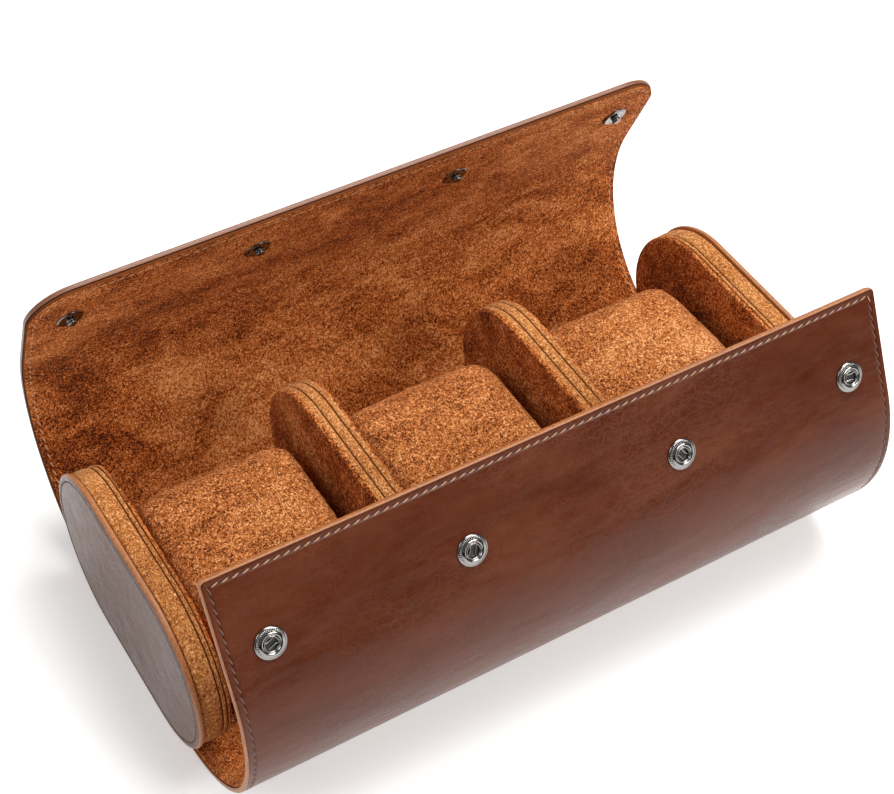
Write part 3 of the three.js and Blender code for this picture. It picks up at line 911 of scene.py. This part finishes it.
# -------------------------------------------------------------------- cushions
def rounded_box(x0, x1, y0, y1, z0, z1, rx, ry, rb, n=8):
    """closed box for a cushion: big rounding along X on top, small at the ends"""
    bm = bmesh.new()
    bmesh.ops.create_cube(bm, size=1.0)
    for v in bm.verts:
        v.co = Vector(((x0 + x1) / 2 + v.co.x * (x1 - x0), (y0 + y1) / 2 + v.co.y * (y1 - y0), (z0 + z1) / 2 + v.co.z * (z1 - z0)))
    bmesh.ops.subdivide_edges(bm, edges=bm.edges, cuts=15, use_grid_fill=True)
    cx, cy, cz = (x0 + x1) / 2, (y0 + y1) / 2, (z0 + z1) / 2
    hx, hy, hz = (x1 - x0) / 2, (y1 - y0) / 2, (z1 - z0) / 2
    for v in bm.verts:
        x, y, z = v.co.x - cx, v.co.y - cy, v.co.z - cz
        r = ry if z > 0 else rb
        # round in the YZ section
        ax, az = abs(y) - (hy - r), abs(z) - (hz - r)
        if ax > 0 and az > 0:
            m = max(ax, az)
            l = math.hypot(ax, az)
            f = m / l
            y = math.copysign(hy - r + ax * f, y)
            z = math.copysign(hz - r + az * f, z)
        # pull the section in towards the ends
        t = (abs(x) - (hx - rx)) / rx
        if t > 0:
            k = rx * (1 - math.sqrt(max(0.0, 1 - t * t)))
            y *= (hy - k) / hy
            z *= (hz - k) / hz
        v.co = Vector((cx + x, cy + y, cz + z))
    return bm


def value_noise(P, scale, seed):
    """smooth repeatable noise in [-1, 1] on points, from summed waves"""
    rng = np.random.default_rng(seed)
    out = np.zeros(len(P))
    for _ in range(14):
        k = rng.normal(size=3)
        k *= (0.7 + 0.6 * rng.random()) / np.linalg.norm(k) * 2 * math.pi / scale
        out += np.sin(P @ k + rng.random() * 2 * math.pi)
    return out / 14 * 2.2


def cushion(label, index):
    lo, hi = cad(f"cushion_{label}_cover")
    x0, y0, z0 = lo
    x1, y1, z1 = hi
    g = 1.3
    bm = rounded_box(x0 + g, x1 - g, y0 + g, y1 - g, z0 + 0.2, z1 - g, 3.6, 10.5, 5.0)
    me = bpy.data.meshes.new(f"cushion_{label}")
    for v in bm.verts:
        v.co *= MM
    bm.to_mesh(me)
    bm.free()
    o = bpy.data.objects.new(f"cushion_{label}", me)
    bpy.context.scene.collection.objects.link(o)
    mod = o.modifiers.new("remesh", "REMESH")
    mod.mode = "VOXEL"
    mod.voxel_size = 0.0042
    dg = bpy.context.evaluated_depsgraph_get()
    new = bpy.data.meshes.new_from_object(o.evaluated_get(dg))
    o.modifiers.clear()
    o.data = new
    rest = np.array([v.co for v in o.data.vertices]) * 1000
    cl = o.modifiers.new("cloth", "CLOTH")
    st = cl.settings
    st.quality = 6
    st.mass = 0.3
    st.use_pressure = True
    st.uniform_pressure_force = 4.0
    st.effector_weights.gravity = 0.0
    st.tension_stiffness = 18
    st.compression_stiffness = 18
    st.shear_stiffness = 8
    st.bending_stiffness = 0.6
    sc = bpy.context.scene
    sc.frame_start, sc.frame_end = 1, 20
    for f in range(1, 21):
        sc.frame_set(f)
    dg = bpy.context.evaluated_depsgraph_get()
    new = bpy.data.meshes.new_from_object(o.evaluated_get(dg))
    moved = np.array([v.co for v in new.vertices]) * 1000
    o.modifiers.clear()
    sc.frame_set(1)
    step = moved - rest
    size = np.linalg.norm(step, axis=1)
    cap = 5.0
    step *= (np.minimum(size, cap) / np.maximum(size, 1e-9))[:, None]
    P = rest + step
    # seat it: flat where it rests, inside its own space, crowned on top
    c = np.array([(x0 + x1) / 2, (y0 + y1) / 2, (z0 + z1) / 2])
    h = np.array([(x1 - x0) / 2, (y1 - y0) / 2, (z1 - z0) / 2])
    q = (P - c) / h
    for k in range(3):
        over = np.abs(q[:, k]) > 0.97
        q[over, k] = np.sign(q[over, k]) * (0.97 + 0.03 * np.tanh((np.abs(q[over, k]) - 0.97) / 0.03))
    P = c + q * h
    P[:, 2] = np.maximum(P[:, 2], z0 + 0.02)
    o.data.vertices.foreach_set("co", (P * MM).ravel())
    sub = o.modifiers.new("sub", "SUBSURF")
    sub.levels = sub.render_levels = 2
    dg = bpy.context.evaluated_depsgraph_get()
    new = bpy.data.meshes.new_from_object(o.evaluated_get(dg))
    o.modifiers.clear()
    o.data = new
    P = np.array([v.co for v in new.vertices]) * 1000
    N = np.array([v.normal for v in new.vertices])
    # nap that stands a little proud, so that the outline is not a clean line
    fuzz = 0.16 * value_noise(P, 2.3, 11 + index) + 0.10 * value_noise(P, 5.0, 21 + index) + 0.18 * value_noise(P, 19.0, 31 + index)
    fuzz[P[:, 2] < z0 + 1.0] = 0
    P = P + N * fuzz[:, None]
    P[:, 0] = np.clip(P[:, 0], x0, x1)
    P[:, 2] = np.maximum(P[:, 2], z0 + 0.02)
    new.vertices.foreach_set("co", (P * MM).ravel())
    for a in list(new.attributes):
        if a.name == "flat":
            new.attributes.remove(a)
    new.attributes.new("flat", "FLOAT_VECTOR", "POINT").data.foreach_set("vector", (P + [0, 40.0 * index, 0]).astype(np.float32).ravel())
    new.polygons.foreach_set("use_smooth", np.full(len(new.polygons), True))
    new.materials.clear()
    new.materials.append(SUEDE_PAD)
    new.update()
    o.name = f"cushion_{label}_pad"
    finish_piece(o, f"cushion_{label}", [f"cushion_{label}_cover", f"cushion_{label}_foam"])
    return o


for i, label in enumerate(("left", "middle", "right")):
    cushion(label, i)


# ---------------------------------------------------------------------- snaps
def lip_frame(w, x, back, d):
    s = w["length"] - back
    t, _ = wrap_dirs(w, s)
    X = np.array([1.0, 0, 0])
    Y = np.array([0, t[0], t[1]])
    Z = np.cross(X, Y)
    return wrap_xyz(w, x, s, d), X, Y, Z


def socket_profile():
    P = [(0.0, -1.0), (2.35, -1.0), (2.35, 0.02), (4.7, 0.02), (4.86, 0.10), (4.9, 0.24), (4.88, 0.40), (4.80, 0.55), (4.68, 0.66), (4.56, 0.70)]
    P += [(4.50, 0.72), (4.40, 0.80), (4.28, 0.90), (4.14, 1.00), (4.0, 1.08), (3.86, 1.14)]
    P += [(3.72, 1.24), (3.50, 1.37), (3.25, 1.45), (3.02, 1.47), (2.84, 1.42), (2.70, 1.33), (2.62, 1.22), (2.56, 1.16)]
    P += [(2.50, 1.20), (2.42, 1.28), (2.30, 1.33), (2.16, 1.31), (2.04, 1.22), (1.97, 1.05), (1.94, 0.7), (1.92, 0.5), (1.88, 0.30), (1.75, 0.24), (0.0, 0.22)]
    return P


def knurl(k, r, a):
    if 3.84 < r < 4.52:
        return 0.075 * math.cos(48 * a) * math.sin((r - 3.84) / 0.68 * math.pi)
    return 0.0


SOCKET_V, SOCKET_F = lathe(socket_profile(), 264, knurl)
STUD_P = [(0.0, -1.0), (2.35, -1.0), (2.35, 0.02), (4.12, 0.02), (4.32, 0.10), (4.4, 0.24), (4.36, 0.38), (4.2, 0.52), (3.95, 0.66), (3.6, 0.78), (3.3, 0.80),
          (3.0, 0.72), (2.8, 0.66), (2.5, 0.66), (2.1, 0.72), (1.75, 0.80), (1.45, 0.92), (1.27, 1.08), (1.22, 1.28), (1.30, 1.50), (1.46, 1.72),
          (1.57, 1.98), (1.60, 2.25), (1.55, 2.52), (1.40, 2.80), (1.15, 3.02), (0.82, 3.16), (0.42, 3.22), (0.0, 3.23)]
STUD_P = [(r, h if h < 0.9 else 0.9 + (h - 0.9) * 0.7) for r, h in STUD_P]
STUD_V, STUD_F = lathe(STUD_P, 72)

for i, x in enumerate(SNAP_X):
    o3, X, Y, Z = lip_frame(WALL, x, SOCKET_BACK, WRAP_T)
    o3 = o3 + Z * -0.05
    bag = Bag()
    turn = 0.35 + 0.9 * i
    A = math.cos(turn) * X + math.sin(turn) * Y
    B = -math.sin(turn) * X + math.cos(turn) * Y
    bag.put(put_at(SOCKET_V, o3, A, B, Z), SOCKET_F, 0)
    # the hole's inner wall and floor take a near-black material: painted shade in the recess
    inner = 264 * (len(socket_profile()) - 6)
    bag.M[inner:] = [2] * (len(bag.M) - inner)
    for sg in (1, -1):
        u = np.linspace(-1, 1, 15)
        path = np.stack([u * 1.98, sg * (1.32 - 0.40 * (1 - u ** 2)), np.full(15, 0.45)], 1)
        tv, tf = tube(path, 0.24, 8)
        bag.put(put_at(tv, o3, A, B, Z), tf, 1)
    o = bag.object(f"socket_{i + 1}_ring", [NICKEL, WIRE, HOLE_SHADE], sharp_angle=math.radians(50))
    finish_piece(o, "wall_4", [f"socket_{i + 1}", f"socket_washer_{i + 1}"])
    o3, X, Y, Z = lip_frame(FLAP, x, STUD_BACK, 0.0)
    o3 = o3 + Z * 0.0
    bag = Bag()
    bag.put(put_at(STUD_V, o3, X, Y, Z), STUD_F, 0)
    o = bag.object(f"stud_{i + 1}_post", [GUN], sharp_angle=math.radians(60))
    finish_piece(o, "flap_4", [f"stud_{i + 1}", f"stud_washer_{i + 1}"])

# ------------------------------------------------------------- floor and light
me = bpy.data.meshes.new("floor")
me.from_pydata([(-6, -6, 0), (6, -6, 0), (6, 6, 0), (-6, 6, 0)], [], [(0, 1, 2, 3)])
floor = bpy.data.objects.new("floor", me)
bpy.context.scene.collection.objects.link(floor)
fm_, ft, fb = nodes_of("floor_pale")
fb.inputs["Base Color"].default_value = (0.90, 0.90, 0.90, 1)
fb.inputs["Roughness"].default_value = 0.85
fb.inputs["Specular IOR Level"].default_value = 0.05
fb.inputs["Emission Color"].default_value = (1, 1, 1, 1)
fb.inputs["Emission Strength"].default_value = 0.34
me.materials.append(fm_)

world = bpy.data.worlds.new("studio")
bpy.context.scene.world = world
world.use_nodes = True
wt = world.node_tree
wt.nodes.clear()
wo = wt.nodes.new("ShaderNodeOutputWorld")
wb = wt.nodes.new("ShaderNodeBackground")
wb.inputs["Color"].default_value = (1.0, 0.99, 0.975, 1)
wb.inputs["Strength"].default_value = 0.22
wt.links.new(wb.outputs[0], wo.inputs[0])


def area(name, at, to, size, power, colour=(1, 1, 1), spread=180):
    l = bpy.data.lights.new(name, "AREA")
    l.shape = "RECTANGLE"
    l.size, l.size_y = size
    l.energy = power
    l.color = colour
    l.spread = math.radians(spread)
    o = bpy.data.objects.new(name, l)
    bpy.context.scene.collection.objects.link(o)
    o.location = at
    d = Vector(to) - Vector(at)
    o.rotation_euler = d.to_track_quat("-Z", "Y").to_euler()
    return o


area("key", (0.40, 0.20, 1.30), (0, 0, 0.04), (1.0, 0.8), 21, (1.0, 0.98, 0.95))
area("front", (0.62, -1.15, 0.95), (0, 0.02, 0.06), (0.8, 0.5), 12.5, (1.0, 0.98, 0.95))
area("left", (-1.1, -0.25, 1.2), (0, 0, 0.05), (0.5, 0.7), 5, (0.97, 0.985, 1.0))

# a dark card in front keeps white off the leather's upper front
me = bpy.data.meshes.new("flag")
me.from_pydata([(-2.2, -1.5, 0.0), (2.2, -1.5, 0.0), (2.2, -1.6, 0.6), (-2.2, -1.6, 0.6)], [], [(0, 1, 2, 3)])
flag = bpy.data.objects.new("flag", me)
bpy.context.scene.collection.objects.link(flag)
gm_, gt, gb = nodes_of("flag_dark")
gb.inputs["Base Color"].default_value = (0.02, 0.018, 0.016, 1)
gb.inputs["Roughness"].default_value = 1.0
me.materials.append(gm_)
flag.visible_camera = False

# -------------------------------------------------------------------- camera
cam = bpy.data.cameras.new("camera")
cam.sensor_fit = "HORIZONTAL"
cam.sensor_width = 36.0
cam.lens = 77.04
cam.clip_start = 0.01
cam.clip_end = 50
co = bpy.data.objects.new("camera", cam)
bpy.context.scene.collection.objects.link(co)
right = Vector((0.85385, -0.51917, 0.03743)).normalized()
fwd = Vector((0.37572, 0.56497, -0.73461)).normalized()
up = right.cross(fwd).normalized()
right = fwd.cross(up).normalized()
m = Matrix.Identity(4)
for k in range(3):
    m[k][0], m[k][1], m[k][2] = right[k], up[k], -fwd[k]
m[0][3], m[1][3], m[2][3] = -0.22954, -0.33983, 0.50746
co.matrix_world = m
bpy.context.scene.camera = co
bpy.context.scene.view_settings.view_transform = "Standard"

# print the name of any CAD part that is still shown
for o in [o for o in bpy.data.objects if "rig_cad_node" in o and not o.hide_render]:
    print("CAD node still shown:", o.name)
bpy.context.view_layer.update()
